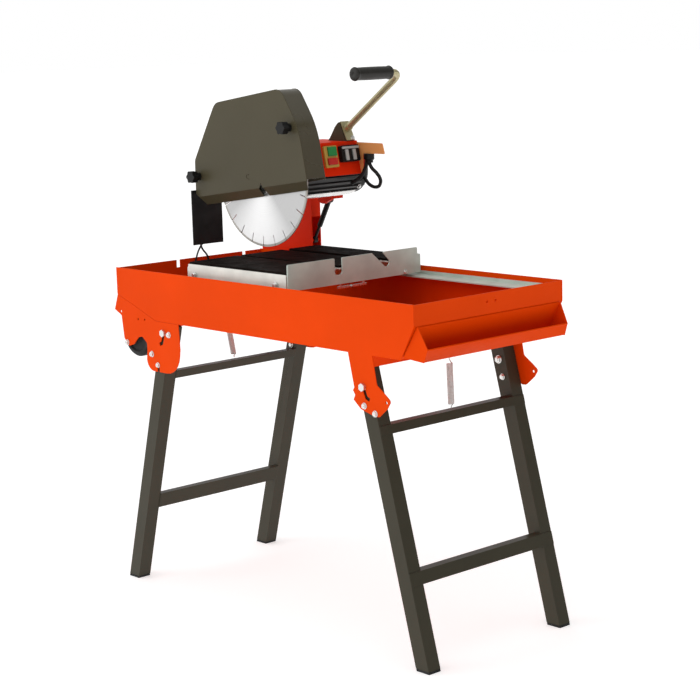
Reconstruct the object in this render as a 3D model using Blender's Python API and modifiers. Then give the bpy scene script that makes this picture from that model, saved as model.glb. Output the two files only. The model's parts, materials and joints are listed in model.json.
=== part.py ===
"""Masonry saw on a folding stand: tilting, swinging cutting head over a rolling cart and a water tray.

Lengths are in millimetres until the mesh is made, which is in metres.
X runs along the tray (+X is the operator's end), Y across it and Z up, with the floor at z = 0.
The tray is centred on x = y = 0 while the pieces are made; the last step moves the whole machine so that
its origin is on the floor under the middle of its outline.
"""

import math

import bmesh
import bpy
from mathutils import Matrix, Vector

MM = 0.001
GAP = 0.3
SHEET = 2.0
ARC_STEP = math.radians(15)
ARC_CHORD = 15.0
WELD = 1e-6

# The machine's origin, in the frame of the tray
ORIGIN = (4.73, 14.25, 0.0)

# Tray
TRAY_HALF_LENGTH = 485.0
END_HOLES = ((-9.0, 716.0), (15.0, 716.0))
TRAY_HALF_WIDTH = 215.0
RIM_Z = 735.0
TRAY_FLOOR_Z = 624.0
SHOULDER_X = -341.0
SHOULDER_Z = 674.0
SLOPE_START_X = 447.0
SLOPE_END_Z = 692.0

# Leg pivots and legs: centre line x = foot + lean * z
FRONT_PIVOT = (338.0, 557.5)
REAR_PIVOT = (-315.0, 599.0)
FRONT_SLOT = [(336.3, 561.3), (347.0, 537.0), (356.0, 533.5)]
REAR_SLOT = [(-313.8, 603.0), (-322.0, 576.0), (-331.5, 572.0)]
FRONT_FOOT_X = 483.8
FRONT_LEAN = -0.2605
REAR_FOOT_X = -481.4
REAR_LEAN = 0.2776
LEG_DEPTH = 35.0
LEG_INNER_Y = 178.0
LEG_OUTER_Y = 210.7
FRONT_LEG_TOP = 592.0
REAR_LEG_TOP = 616.0
FOOT_HEIGHT = 30.0
FOOT_SOLE = 5.0
BOLT_RADIUS = 3.7
BOLT_HOLE = 4.0

# Transport wheels
WHEEL_RADIUS = 48.0
WHEEL_CENTRE = (-428.0, 581.0)
WHEEL_INNER_Y = 183.0
WHEEL_OUTER_Y = 208.0

# Cart
CART_BACK_X = -249.0
CART_FRONT_X = 84.0
CART_HALF_WIDTH = 190.0
TABLE_Z = 757.0
MAT_Z = 762.0
RAIL_LEDGE_Z = 716.5
ROLLER_RADIUS = 18.0
AXLE_RADIUS = 5.0
ROLLER_X = (-222.0, 52.0)
AXLE_Z = RAIL_LEDGE_Z + ROLLER_RADIUS + GAP
BLADE_SLOT = (-51.5, -40.5)
MITRE_SLOT = (79.0, 101.0)
FENCE_TOP_Z = 779.0

# Blade and spindle
BLADE_RADIUS = 150.0
BLADE_CENTRE = (-152.0, 937.5)
BLADE_Y = -46.0
BLADE_THICKNESS = 2.6
SEGMENTS = 23
FIRST_SLIT = math.radians(-91.5)
SLIT_DEPTH = 23.0
SLIT_WIDTH = 2.4
SHAFT_RADIUS = 10.0
MOTOR_RADIUS = 52.0
MOTOR_RIBS = 24
RIB_DEPTH = 5.0
RIB_PROFILE = ((0.0, 0.0), (0.38, 0.0), (0.5, RIB_DEPTH), (0.88, RIB_DEPTH))

# Guard
GUARD_NEAR_Y = -72.0
GUARD_FAR_Y = -18.0
GUARD_OUTLINE = [
    (-360, 897), (-359, 973, 20), (-279, 1103, 30), (-53, 1135.5, 28), (3, 1052, 190), (25, 941),
    (-122, 920.5), (-129, 931), (-135, 918.7), (-199, 910), (-348, 890),
]
GUARD_SLOPE = math.radians(7.8)
KNOB_POINTS = ((-27.0, 1053.0), (-346.0, 937.0))
KNOB_LOBES = 6
KNOB_POINT_COUNT = 48

# Column, swing pivot, tilt axis and strut
COLUMN_FAR_Y = 244.0
HUB_NEAR_Y = 151.0
TILT_PLATE = 12.0
TILT_BOSS = 28.0
TILT_PIN_RADIUS = 12.0
SWING_PIVOT = (-440.0, 895.0)
SWING_RANGE = math.radians(8.0)
TILT_POINT = (-304.8, 20.0, 939.2)
STRUT_FOOT = (-299.0, 766.7)
STRUT_HEAD = (-241.5, 866.0)
STRUT_Y = 228.0
STRUT_PIN_RADIUS = 4.0

# Control box and handle
PANEL_TOP = (-80.0, 1010.0)
PANEL_FOOT = (-65.0, 936.6)
BOX_NEAR_Y = -14.0
BOX_FAR_Y = 172.0
HANDLE_Y = 150.0
HANDLE_START = (-89.3, 1036.1)
HANDLE_CORNER = (92.0, 1162.0)
TUBE_RADIUS = 7.6
GRIP_RADIUS = 14.0

# Stand springs
FRONT_SPRING = ((366.0, 598.0), (369.5, 485.0))
REAR_SPRING = ((-356.0, 598.0), (-335.5, 512.0))
SPRING_RADIUS = 7.0
SPRING_HOOK = 1.6

PLANES = {
    "xz": Matrix(((1, 0, 0, 0), (0, 0, -1, 0), (0, 1, 0, 0), (0, 0, 0, 1))),
    "yz": Matrix(((0, 0, 1, 0), (1, 0, 0, 0), (0, 1, 0, 0), (0, 0, 0, 1))),
}

LOOKS = {
    "orange_paint": ((0.83, 0.075, 0.012), 0.0, 0.35),
    "red_paint": ((0.62, 0.02, 0.008), 0.0, 0.35),
    "olive_paint": ((0.095, 0.085, 0.062), 0.0, 0.4),
    "leg_paint": ((0.06, 0.055, 0.045), 0.0, 0.4),
    "grey_plate": ((0.6, 0.6, 0.58), 0.4, 0.4),
    "zinc": ((0.75, 0.75, 0.72), 1.0, 0.3),
    "yellow_zinc": ((0.62, 0.56, 0.36), 1.0, 0.35),
    "blade_steel": ((0.8, 0.8, 0.8), 1.0, 0.25),
    "black_rubber": ((0.02, 0.02, 0.02), 0.0, 0.7),
    "black_plastic": ((0.03, 0.03, 0.03), 0.0, 0.5),
    "motor_paint": ((0.05, 0.048, 0.045), 0.0, 0.45),
    "green_plastic": ((0.02, 0.3, 0.05), 0.0, 0.35),
    "stop_plastic": ((0.6, 0.02, 0.02), 0.0, 0.35),
    "gold_plastic": ((0.7, 0.5, 0.15), 0.2, 0.4),
}


def start_scene():
    for obj in list(bpy.data.objects):
        bpy.data.objects.remove(obj)
    made = []
    for name in ("masonry_saw", "cutters"):
        group = bpy.data.collections.new(name)
        bpy.context.scene.collection.children.link(group)
        made.append(group)
    return made


PARTS, CUTTERS = start_scene()


def make_look(name):
    color, metallic, roughness = LOOKS[name]
    look = bpy.data.materials.new(name)
    look.use_nodes = True
    shader = look.node_tree.nodes["Principled BSDF"]
    shader.inputs["Base Color"].default_value = (*color, 1)
    shader.inputs["Metallic"].default_value = metallic
    shader.inputs["Roughness"].default_value = roughness
    look.diffuse_color = (*color, 1)
    return look


def add(name, mesh, look):
    """Link a mesh as a named part with its own copy of a look."""
    obj = bpy.data.objects.new(name, mesh)
    material = make_look(look)
    material.name = f"{name}_{look}"
    mesh.materials.clear()
    mesh.materials.append(material)
    PARTS.objects.link(obj)
    return obj


def finish_mesh(work, smooth=False):
    """Weld, orient and store a bmesh."""
    bmesh.ops.remove_doubles(work, verts=work.verts, dist=WELD)
    bmesh.ops.recalc_face_normals(work, faces=work.faces)
    for face in work.faces:
        face.smooth = smooth and len(face.verts) == 4
    mesh = bpy.data.meshes.new("shape")
    work.to_mesh(mesh)
    work.free()
    return mesh


def rounded(corners, size=2):
    """Return outline points, with an arc at each corner that ends in a radius."""
    points = []
    for index, corner in enumerate(corners):
        here = Vector(corner[:size])
        if len(corner) == size:
            points.append(here)
            continue
        radius = corner[size]
        after_index = (index + 1) % len(corners)
        back = (Vector(corners[index - 1][:size]) - here).normalized()
        ahead = (Vector(corners[after_index][:size]) - here).normalized()
        half = back.angle(ahead) / 2
        centre = here + (back + ahead).normalized() * (radius / math.sin(half))
        first = here + back * (radius / math.tan(half)) - centre
        last = here + ahead * (radius / math.tan(half)) - centre
        sweep = first.angle(last)
        across = (last - first * (last.dot(first) / first.dot(first))).normalized() * radius
        steps = max(2, math.ceil(sweep / ARC_STEP), math.ceil(sweep * radius / ARC_CHORD))
        for step in range(steps + 1):
            turn = sweep * step / steps
            points.append(centre + first * math.cos(turn) + across * math.sin(turn))
    return points


def around(centre, radius, turn):
    """Return the point at an angle on a circle."""
    return (centre[0] + radius * math.cos(turn), centre[1] + radius * math.sin(turn))


def circle(centre, radius, count=24):
    return [around(centre, radius, 2 * math.pi * index / count) for index in range(count)]


def offset_line(points, distance):
    """Shift an open polyline to its right-hand side, keeping its corners sharp."""
    points = [Vector(point) for point in points]
    normals = []
    for start, end in zip(points, points[1:]):
        along = (end - start).normalized()
        normals.append(Vector((along.y, -along.x)))
    moved = [points[0] + normals[0] * distance]
    for point, before, after in zip(points[1:], normals, normals[1:]):
        middle = (before + after).normalized()
        moved.append(point + middle * (distance / middle.dot(after)))
    moved.append(points[-1] + normals[-1] * distance)
    return moved


def band(points, near, far):
    """Return the closed outline of a bent sheet seen on edge."""
    return offset_line(points, near) + offset_line(points, far)[::-1]


def plate_mesh(corners, plane, low, high, holes=()):
    """Fill an outline and give it thickness along the plane's normal."""
    curve = bpy.data.curves.new("outline", "CURVE")
    curve.dimensions = "2D"
    curve.fill_mode = "BOTH"
    curve.extrude = (high - low) / 2 * MM
    for loop in (rounded(corners), *holes):
        spline = curve.splines.new("POLY")
        spline.points.add(len(loop) - 1)
        for target, point in zip(spline.points, loop):
            target.co = (point[0] * MM, point[1] * MM, 0, 1)
        spline.use_cyclic_u = True
    holder = bpy.data.objects.new("outline", curve)
    PARTS.objects.link(holder)
    flat = bpy.data.meshes.new_from_object(holder)
    bpy.data.objects.remove(holder)
    frame = PLANES[plane].copy() if isinstance(plane, str) else plane.copy()
    normal = frame.to_3x3() @ Vector((0, 0, 1))
    middle = (low + high) / 2
    if plane == "xz":
        middle = -middle
    frame.translation = frame.translation + normal * (middle * MM)
    flat.transform(frame)
    work = bmesh.new()
    work.from_mesh(flat)
    bpy.data.meshes.remove(flat)
    return finish_mesh(work)


def plate(name, look, corners, plane, low, high, holes=()):
    return add(name, plate_mesh(corners, plane, low, high, holes), look)


def box(name, look, low, high):
    """Make an axis-aligned box between two corners."""
    low = Vector(low)
    high = Vector(high)
    work = bmesh.new()
    bmesh.ops.create_cube(work, size=1)
    bmesh.ops.scale(work, vec=(high - low) * MM, verts=work.verts)
    bmesh.ops.translate(work, vec=(high + low) / 2 * MM, verts=work.verts)
    return add(name, finish_mesh(work), look)


def rod(name, look, start, end, radius, count=24):
    """Make a cylinder between two points."""
    start = Vector(start)
    end = Vector(end)
    work = bmesh.new()
    bmesh.ops.create_cone(
        work, cap_ends=True, segments=count, radius1=radius * MM, radius2=radius * MM,
        depth=(end - start).length * MM,
    )
    turn = Vector((0, 0, 1)).rotation_difference(end - start).to_matrix().to_4x4()
    turn.translation = (start + end) / 2 * MM
    bmesh.ops.transform(work, matrix=turn, verts=work.verts)
    return add(name, finish_mesh(work, smooth=True), look)


def turned(name, look, profile, place, heading, steps=32, closed=False):
    """Turn a (radius, height) profile, top first, about an axis through a point."""
    work = bmesh.new()
    corners = [work.verts.new((radius * MM, 0, height * MM)) for radius, height in profile]
    pairs = list(zip(corners, corners[1:]))
    if closed:
        pairs.append((corners[-1], corners[0]))
    for pair in pairs:
        work.edges.new(pair)
    mesh = bpy.data.meshes.new("profile")
    work.to_mesh(mesh)
    work.free()
    obj = add(name, mesh, look)
    spin = obj.modifiers.new("turn", "SCREW")
    spin.steps = steps
    spin.render_steps = steps
    spin.use_merge_vertices = True
    spin.merge_threshold = 1e-5
    spin.use_smooth_shade = True
    turn = Vector((0, 0, 1)).rotation_difference(Vector(heading)).to_matrix().to_4x4()
    turn.translation = Vector(place) * MM
    obj.matrix_world = turn
    return obj


def pipe(name, look, path, radius, count=3):
    """Run a round bar along a path with rounded corners."""
    curve = bpy.data.curves.new(name, "CURVE")
    curve.dimensions = "3D"
    curve.bevel_depth = radius * MM
    curve.bevel_resolution = count
    curve.use_fill_caps = True
    points = rounded(path, 3)
    spline = curve.splines.new("POLY")
    spline.points.add(len(points) - 1)
    for target, point in zip(spline.points, points):
        target.co = (*(point * MM), 1)
    holder = bpy.data.objects.new("path", curve)
    PARTS.objects.link(holder)
    raw = bpy.data.meshes.new_from_object(holder)
    bpy.data.objects.remove(holder)
    work = bmesh.new()
    work.from_mesh(raw)
    bpy.data.meshes.remove(raw)
    return add(name, finish_mesh(work, smooth=True), look)


def combine(piece, tools, operation):
    """Join tools to a piece or cut them from it, keeping them as hidden cutters."""
    for tool in tools:
        step = piece.modifiers.new(tool.name, "BOOLEAN")
        step.operation = operation
        step.solver = "EXACT"
        step.object = tool
        PARTS.objects.unlink(tool)
        CUTTERS.objects.link(tool)
        tool.hide_render = True
        tool.display_type = "WIRE"
    return piece


def join(piece, *tools):
    return combine(piece, tools, "UNION")


def cut(piece, *tools):
    return combine(piece, tools, "DIFFERENCE")


def axes(first, second, point):
    """Local frame, in metres, from two directions and a point in millimetres."""
    frame = Matrix((first, second, first.cross(second))).transposed().to_4x4()
    frame.translation = Vector(point) * MM
    return frame


def rectangle(low_u, high_u, low_v, high_v, radius=None):
    corners = [(low_u, low_v), (high_u, low_v), (high_u, high_v), (low_u, high_v)]
    return [(*corner, radius) for corner in corners] if radius else corners


def hang(name, point, pieces):
    """Parent pieces to an empty at a joint, leaving them where they are."""
    pivot = bpy.data.objects.new(name, None)
    PARTS.objects.link(pivot)
    pivot.location = Vector(point) * MM
    back = Matrix.Translation(-pivot.location)
    for piece in pieces:
        piece.parent = pivot
        piece.matrix_basis = back @ piece.matrix_basis
    return pivot


def at_y(point, y):
    return (point[0], y, point[1])


def sides():
    """Name each side of the machine with the sign of its y."""
    return (("near", -1), ("far", 1))


# ---------------------------------------------------------------- frame

SIDE_OUTLINE = [
    (-TRAY_HALF_LENGTH, RIM_Z), (-TRAY_HALF_LENGTH, SHOULDER_Z), (SHOULDER_X, TRAY_FLOOR_Z),
    (296, TRAY_FLOOR_Z - 0.6), (312, 554), (308, 548), (314, 539), (309, 529), (330, 512, 8),
    (362, 504, 8), (382, 502, 8), (406, 522), (417, 538, 6), (401, 550), (377, 566, 8),
    (366, TRAY_FLOOR_Z - 0.4), (SLOPE_START_X, TRAY_FLOOR_Z), (TRAY_HALF_LENGTH, SLOPE_END_Z),
    (TRAY_HALF_LENGTH, RIM_Z),
]
PAN_LINE = [
    (-TRAY_HALF_LENGTH, RIM_Z - 1), (-TRAY_HALF_LENGTH, SHOULDER_Z), (SHOULDER_X, TRAY_FLOOR_Z),
    (SLOPE_START_X, TRAY_FLOOR_Z), (TRAY_HALF_LENGTH, SLOPE_END_Z), (TRAY_HALF_LENGTH, RIM_Z - 1),
]
TROUGH_LINE = [(484.2, 690.6), (450.5, 630.3), (468, 627), (500, 623), (509, 648)]
CHEEK_OUTLINE = [(5, 629.8), (21, 626.4), (53.4, 622.3), (62.8, 648.2), (40.4, 691), (38.4, 690.1)]
CHEEK_TURN = math.radians(9.0)


def build_tray():
    """The water tray: bent pan and two side sheets with the front leg brackets."""
    seam = 1.0
    tray = plate("tray", "orange_paint", band(PAN_LINE, -seam, -seam - SHEET), "xz",
                 -TRAY_HALF_WIDTH + 1, TRAY_HALF_WIDTH - 1)
    holes = [band(FRONT_SLOT, BOLT_HOLE, -BOLT_HOLE), circle((404, 534), 3, 12)]
    for side, sign in sides():
        low, high = sorted((sign * (TRAY_HALF_WIDTH - SHEET), sign * TRAY_HALF_WIDTH))
        sheet = plate(f"cut_side_{side}", "orange_paint", SIDE_OUTLINE, "xz", low, high, holes)
        join(tray, sheet)
    for index, middle in enumerate((-39, 160)):
        low = (-TRAY_HALF_LENGTH - 5, middle - 5, 716)
        high = (-TRAY_HALF_LENGTH + 10, middle + 5, RIM_Z + 5)
        cut(tray, box(f"cut_wall_slot_{index}", "orange_paint", low, high))
    for index, (y, z) in enumerate(END_HOLES):
        inner = (TRAY_HALF_LENGTH - 8, y, z)
        cut(tray, rod(f"cut_end_hole_{index}", "orange_paint", inner, (TRAY_HALF_LENGTH + 5, y, z), 3, 12))
    return tray


def build_trough():
    """The open trough on the tray's sloping end: flange, floor and lip in one bent sheet, and two cheeks."""
    reach = TRAY_HALF_WIDTH - SHEET + 0.5
    trough = plate("end_trough", "orange_paint", band(TROUGH_LINE, -GAP, -GAP - SHEET), "xz", -reach, reach)
    outside = rectangle(-40, 120, 560, 740)
    cheeks = []
    for side, sign in sides():
        along = Vector((math.cos(CHEEK_TURN), -sign * math.sin(CHEEK_TURN), 0))
        base = (SLOPE_START_X, sign * (TRAY_HALF_WIDTH - SHEET - GAP), 0)
        frame = axes(along, Vector((0, 0, 1)), base)
        low, high = sorted((sign * 0.8, sign * -30.0))
        cut(trough, plate(f"cut_outside_{side}", "orange_paint", outside, frame, low, high))
        low, high = sorted((0, sign * SHEET))
        cheeks.append(plate(f"cut_cheek_{side}", "orange_paint", CHEEK_OUTLINE, frame, low, high))
    return join(trough, *cheeks)


WHEEL_BRACKET = [
    (-260, 623.4), (SHOULDER_X - 0.3, 623.4), (-484, 673), (-498, 637), (-473, 625), (-466, 573),
    (-450, 556, 6), (-430, 562), (-411, 580), (-396, 583, 6), (-379, 570, 8), (-379, 552),
    (-388, 508, 26), (-344, 508), (-344, 520, 3.9), (-336, 520, 3.9), (-336, 508), (-266, 508, 50),
    (-257, 567, 6),
]


def build_wheel_bracket(side, sign):
    """A rear bracket plate with the stub axle of its transport wheel."""
    holes = [
        band(REAR_SLOT, BOLT_HOLE, -BOLT_HOLE), circle((-474, 634), 3, 12),
        circle((-409, 622), 2.5, 12), circle((-384, 623), 2.5, 12),
    ]
    low, high = sorted((sign * (TRAY_HALF_WIDTH - SHEET), sign * TRAY_HALF_WIDTH))
    bracket = plate(f"wheel_bracket_{side}", "orange_paint", WHEEL_BRACKET, "xz", low, high, holes)
    stub = rod(f"cut_stub_{side}", "zinc", at_y(WHEEL_CENTRE, sign * (TRAY_HALF_WIDTH - 1)),
               at_y(WHEEL_CENTRE, sign * (WHEEL_INNER_Y - 2)), 5)
    return join(bracket, stub)


def build_channel(name, low_x, high_x):
    """A cross channel under the pan, open downwards."""
    top = TRAY_FLOOR_Z + 1 - GAP
    foot = 601.0
    outline = [
        (low_x, top), (low_x, foot), (low_x + SHEET, foot), (low_x + SHEET, top - SHEET),
        (high_x - SHEET, top - SHEET), (high_x - SHEET, foot), (high_x, foot), (high_x, top),
    ]
    reach = TRAY_HALF_WIDTH - SHEET - GAP
    return plate(name, "orange_paint", outline, "xz", -reach, reach)


def build_rail(side, sign):
    """An angle rail along the inside of a tray wall."""
    wall = TRAY_HALF_WIDTH - SHEET - GAP
    outline = [
        (wall, 713.5), (172, 713.5), (172, RAIL_LEDGE_Z), (wall - 3, RAIL_LEDGE_Z),
        (wall - 3, 724), (wall, 724),
    ]
    if sign < 0:
        outline = [(-y, z) for y, z in outline]
    reach = TRAY_HALF_LENGTH - 3.5
    return plate(f"rail_{side}", "grey_plate", outline, "yz", -reach, reach)


def build_column():
    """The post outside the far wall that carries the swing pivot and the foot of the strut."""
    near = TRAY_HALF_WIDTH + GAP
    outline = [(-478, 640, 6), (-293, 640, 6), (-293, 865), (-340, 865), (-402, 925, 15), (-478, 925, 15)]
    bore = circle(SWING_PIVOT, SHAFT_RADIUS + GAP)
    column = plate("column", "red_paint", outline, "xz", near, COLUMN_FAR_Y, [bore])
    recess = box("cut_recess", "red_paint", (-320, 217.5, 752), (-290, COLUMN_FAR_Y - 2.5, 822))
    cut(column, recess)
    pin = rod("cut_strut_pin", "red_paint", at_y(STRUT_FOOT, 216.5), at_y(STRUT_FOOT, COLUMN_FAR_Y - 1.5),
              STRUT_PIN_RADIUS, 16)
    return join(column, pin)


def build_pump():
    """The submersible water pump, standing in the low corner of the tray."""
    profile = [(0, 72), (12, 72), (12, 62), (30, 60), (32, 56), (32, 6), (36, 4), (36, 0), (0, 0)]
    foot = TRAY_FLOOR_Z + 1 + SHEET + GAP
    return turned("water_pump", "black_plastic", profile, (-290, -110, foot), (0, 0, 1), 24)


def build_pivot_bolt(name, point, sign):
    """A leg pivot bolt: hexagon head outside the bracket, shank through the leg."""
    outer = TRAY_HALF_WIDTH + GAP
    head = rod(name, "zinc", at_y(point, sign * outer), at_y(point, sign * (outer + 5.5)), 8.5, 6)
    shank = rod(f"cut_shank_{name}", "zinc", at_y(point, sign * (outer + 2)), at_y(point, sign * 170),
                BOLT_RADIUS, 16)
    return join(head, shank)


def build_swing_pin():
    """The pin through the column and the arm's hub, with its head outside the column."""
    foot = HUB_NEAR_Y - 0.5
    under = COLUMN_FAR_Y + GAP - foot
    top = under + 5
    profile = [(0, top), (14, top), (14, under), (SHAFT_RADIUS, under), (SHAFT_RADIUS, 0), (0, 0)]
    return turned("swing_pin", "zinc", profile, at_y(SWING_PIVOT, foot), (0, 1, 0), 24)


def build_frame():
    build_tray()
    build_trough()
    build_channel("cross_channel_front", 350, 368)
    build_channel("cross_channel_rear", -372, -354)
    build_column()
    build_pump()
    for side, sign in sides():
        build_wheel_bracket(side, sign)
        build_rail(side, sign)
        build_pivot_bolt(f"front_pivot_bolt_{side}", FRONT_PIVOT, sign)
        build_pivot_bolt(f"rear_pivot_bolt_{side}", REAR_PIVOT, sign)
    build_swing_pin()


# ---------------------------------------------------------------- legs and wheels

def leg_outline(foot_x, lean, low_z, top_z, depth):
    """A slanting leg seen from the side: level foot, square top."""
    half = depth / 2 * math.hypot(1, lean)
    along = Vector((lean, 1)).normalized()
    across = Vector((along.y, -along.x)) * (depth / 2)
    top = Vector((foot_x + lean * top_z, top_z))
    base = foot_x + lean * low_z
    return [(base - half, low_z), (base + half, low_z), tuple(top + across), tuple(top - across)]


def sole_outline(foot_x, lean):
    """The rubber sole seen from the side: level top and bottom, slanting with the leg."""
    half = LEG_DEPTH / 2 * math.hypot(1, lean)
    top = foot_x + lean * FOOT_SOLE
    return [(foot_x - half, 0), (foot_x + half, 0), (top + half, FOOT_SOLE), (top - half, FOOT_SOLE)]


def bar_outline(foot_x, lean, low_z, high_z):
    """A cross bar seen on end, its front standing just proud of the legs."""
    proud = LEG_DEPTH / 2 * math.hypot(1, lean) + 1.5
    low = foot_x + lean * low_z + proud
    high = foot_x + lean * high_z + proud
    return [(low - 21, low_z), (low, low_z), (high, high_z), (high - 21, high_z)]


def build_leg_frame(name, foot_x, lean, pivot, top_z, bars, bar_reach):
    """Two tube legs joined by two cross bars, with a rubber plug for a foot in each leg."""
    outer = leg_outline(foot_x, lean, FOOT_SOLE + GAP, top_z, LEG_DEPTH)
    inner = leg_outline(foot_x, lean, -20, top_z + 20, LEG_DEPTH - 2 * SHEET)
    wall = SHEET + GAP
    stem = leg_outline(foot_x, lean, FOOT_SOLE - 1, FOOT_HEIGHT, LEG_DEPTH - 2 * wall)
    tubes = []
    feet = []
    for side, sign in sides():
        low, high = sorted((sign * LEG_INNER_Y, sign * LEG_OUTER_Y))
        label = f"{name}_{side}"
        hole = circle(pivot, BOLT_HOLE, 16)
        tube = plate(f"cut_tube_{label}", "leg_paint", outer, "xz", low, high, [hole])
        core = plate(f"cut_core_{label}", "leg_paint", inner, "xz", low + SHEET, high - SHEET)
        cut(tube, core)
        tubes.append(tube)
        foot = plate(f"{name}_foot_{side}", "black_rubber", sole_outline(foot_x, lean), "xz", low, high)
        plug = plate(f"cut_plug_{label}", "black_rubber", stem, "xz", low + wall, high - wall)
        feet.append(join(foot, plug))
    rails = []
    for index, (low_z, high_z) in enumerate(bars):
        outline = bar_outline(foot_x, lean, low_z, high_z)
        rails.append(plate(f"cut_bar_{name}_{index}", "leg_paint", outline, "xz", -bar_reach, bar_reach))
    frame = rails[0]
    frame.name = f"{name}_leg_frame"
    join(frame, rails[1], *tubes)
    return [frame, *feet]


def build_spring(name, ends):
    """A stand spring as one closed solid: thin hooks with the coil's envelope between them."""
    top = Vector(at_y(ends[0], 0))
    low = Vector(at_y(ends[1], 0))
    length = (top - low).length
    profile = [
        (0, length), (SPRING_HOOK, length), (SPRING_HOOK, length - 20), (SPRING_RADIUS, length - 24),
        (SPRING_RADIUS, 8), (SPRING_HOOK, 4), (SPRING_HOOK, 0), (0, 0),
    ]
    return turned(name, "zinc", profile, low, top - low, 20)


def build_stand():
    front = build_leg_frame("front", FRONT_FOOT_X, FRONT_LEAN, FRONT_PIVOT, FRONT_LEG_TOP,
                            ((170, 196), (464, 482)), LEG_OUTER_Y - 0.5)
    hang("front_legs_pivot", at_y(FRONT_PIVOT, 0), front)
    rear = build_leg_frame("rear", REAR_FOOT_X, REAR_LEAN, REAR_PIVOT, REAR_LEG_TOP,
                           ((174, 208), (490, 508.5)), LEG_INNER_Y + 0.9)
    hang("rear_legs_pivot", at_y(REAR_PIVOT, 0), rear)
    for name, ends in (("front_leg_spring", FRONT_SPRING), ("rear_leg_spring", REAR_SPRING)):
        spring = build_spring(name, ends)
        hang(f"{name}_pivot", at_y(ends[0], 0), [spring])
    for side, sign in sides():
        half = (WHEEL_OUTER_Y - WHEEL_INNER_Y) / 2
        middle = sign * (WHEEL_OUTER_Y + WHEEL_INNER_Y) / 2
        profile = [
            (5 + GAP, half), (14, half), (16, half - 4), (34, half - 4), (37, half), (44, half),
            (WHEEL_RADIUS, half - 5), (WHEEL_RADIUS, 5 - half), (44, -half), (37, -half),
            (34, 4 - half), (16, 4 - half), (14, -half), (5 + GAP, -half),
        ]
        turned(f"wheel_{side}", "black_rubber", profile, at_y(WHEEL_CENTRE, middle), (0, 1, 0), 32, True)


# ---------------------------------------------------------------- cart

def build_cart_frame():
    """Side plates, three table strips and the notched cross bars that tie them together."""
    reach = CART_HALF_WIDTH - 0.7
    top = TABLE_Z - 1.5
    bars = []
    for index, low_x in enumerate((-190, 18)):
        outline = [
            (-reach, 728), (reach, 728), (reach, top), (104, top), (104, 744), (78, 744), (78, top),
            (-39, top), (-39, 743), (-53, 743), (-53, top), (-reach, top),
        ]
        bars.append(plate(f"cut_cross_{index}", "grey_plate", outline, "yz", low_x, low_x + 15))
    frame = bars[0]
    frame.name = "cart_frame"
    tools = [bars[1]]
    for side, sign in sides():
        low, high = sorted((sign * CART_HALF_WIDTH, sign * (CART_HALF_WIDTH - SHEET)))
        outline = [
            (CART_BACK_X, 725, 4), (CART_FRONT_X, 725, 4), (CART_FRONT_X, TABLE_Z + 0.6),
            (CART_BACK_X, TABLE_Z + 0.6, 12),
        ]
        tools.append(plate(f"cut_cart_side_{side}", "grey_plate", outline, "xz", low, high))
        for index, x in enumerate(ROLLER_X):
            outer = (x, sign * (CART_HALF_WIDTH + 2), AXLE_Z)
            inner = (x, sign * (CART_HALF_WIDTH - 15), AXLE_Z)
            tools.append(rod(f"cut_axle_{side}_{index}", "zinc", outer, inner, AXLE_RADIUS, 16))
    edge = CART_HALF_WIDTH - 1
    strips = ((-edge, BLADE_SLOT[0]), (BLADE_SLOT[1], MITRE_SLOT[0]), (MITRE_SLOT[1], edge))
    for index, (low, high) in enumerate(strips):
        back = (CART_BACK_X + 2, low, TABLE_Z - 3)
        front = (CART_FRONT_X + 0.6, high, TABLE_Z)
        tools.append(box(f"cut_strip_{index}", "grey_plate", back, front))
    return join(frame, *tools)


def build_fence():
    """The upright fence, notched for the straight and the mitre cut."""
    low = -188.0
    high = 197.0
    half = 11 * math.sqrt(2)
    mitre = 846.6
    foot_z = 748.0
    outline = [
        (low, 723, 3), (high, 723, 3), (high, 764, 3), (high - 9, 764, 3), (high - 9, FENCE_TOP_Z, 3),
        (mitre - FENCE_TOP_Z + half, FENCE_TOP_Z, 2), (mitre - foot_z + half / 2, foot_z + half / 2, 6),
        (mitre - foot_z - half / 2 + 3, foot_z - half / 2 + 3, 6),
        (mitre - FENCE_TOP_Z - half, FENCE_TOP_Z, 2), (BLADE_Y + 11, FENCE_TOP_Z, 2),
        (BLADE_Y + 11, 743, 8), (BLADE_Y - 11, 743, 8), (BLADE_Y - 11, FENCE_TOP_Z, 2),
        (low, FENCE_TOP_Z, 3),
    ]
    return plate("fence", "grey_plate", outline, "yz", CART_FRONT_X + 1.3, CART_FRONT_X + 4.3)


def build_cart():
    pieces = [build_cart_frame(), build_fence()]
    mats = (("near", -187, -52), ("middle", -40, 78.5), ("far", 101.5, 187))
    for name, low, high in mats:
        back = (CART_BACK_X + 4, low, TABLE_Z + GAP)
        front = (CART_FRONT_X - 1, high, MAT_Z)
        pieces.append(box(f"mat_{name}", "black_rubber", back, front))
    hang("cart_slide", (0, 0, AXLE_Z), pieces)
    for side, sign in sides():
        for name, x in zip(("rear", "front"), ROLLER_X):
            bore = AXLE_RADIUS + GAP
            profile = [(bore, 6), (14, 6), (ROLLER_RADIUS, 4), (ROLLER_RADIUS, -4), (14, -6), (bore, -6)]
            turned(f"roller_{name}_{side}", "black_plastic", profile, (x, sign * 181.5, AXLE_Z),
                   (0, 1, 0), 24, True)


# ---------------------------------------------------------------- head

def tilt_frame():
    """Axes of the tilt joint: local z along the tilt axis, local x across it (world +Y)."""
    up = Vector((-math.sin(SWING_RANGE), 0, math.cos(SWING_RANGE)))
    return axes(Vector((0, 1, 0)), up, TILT_POINT)


def on_tilt(along, across, up):
    """World point in millimetres from distances along, across and above the tilt axis."""
    return tilt_frame() @ (Vector((across, up, along)) * MM) / MM


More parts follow.
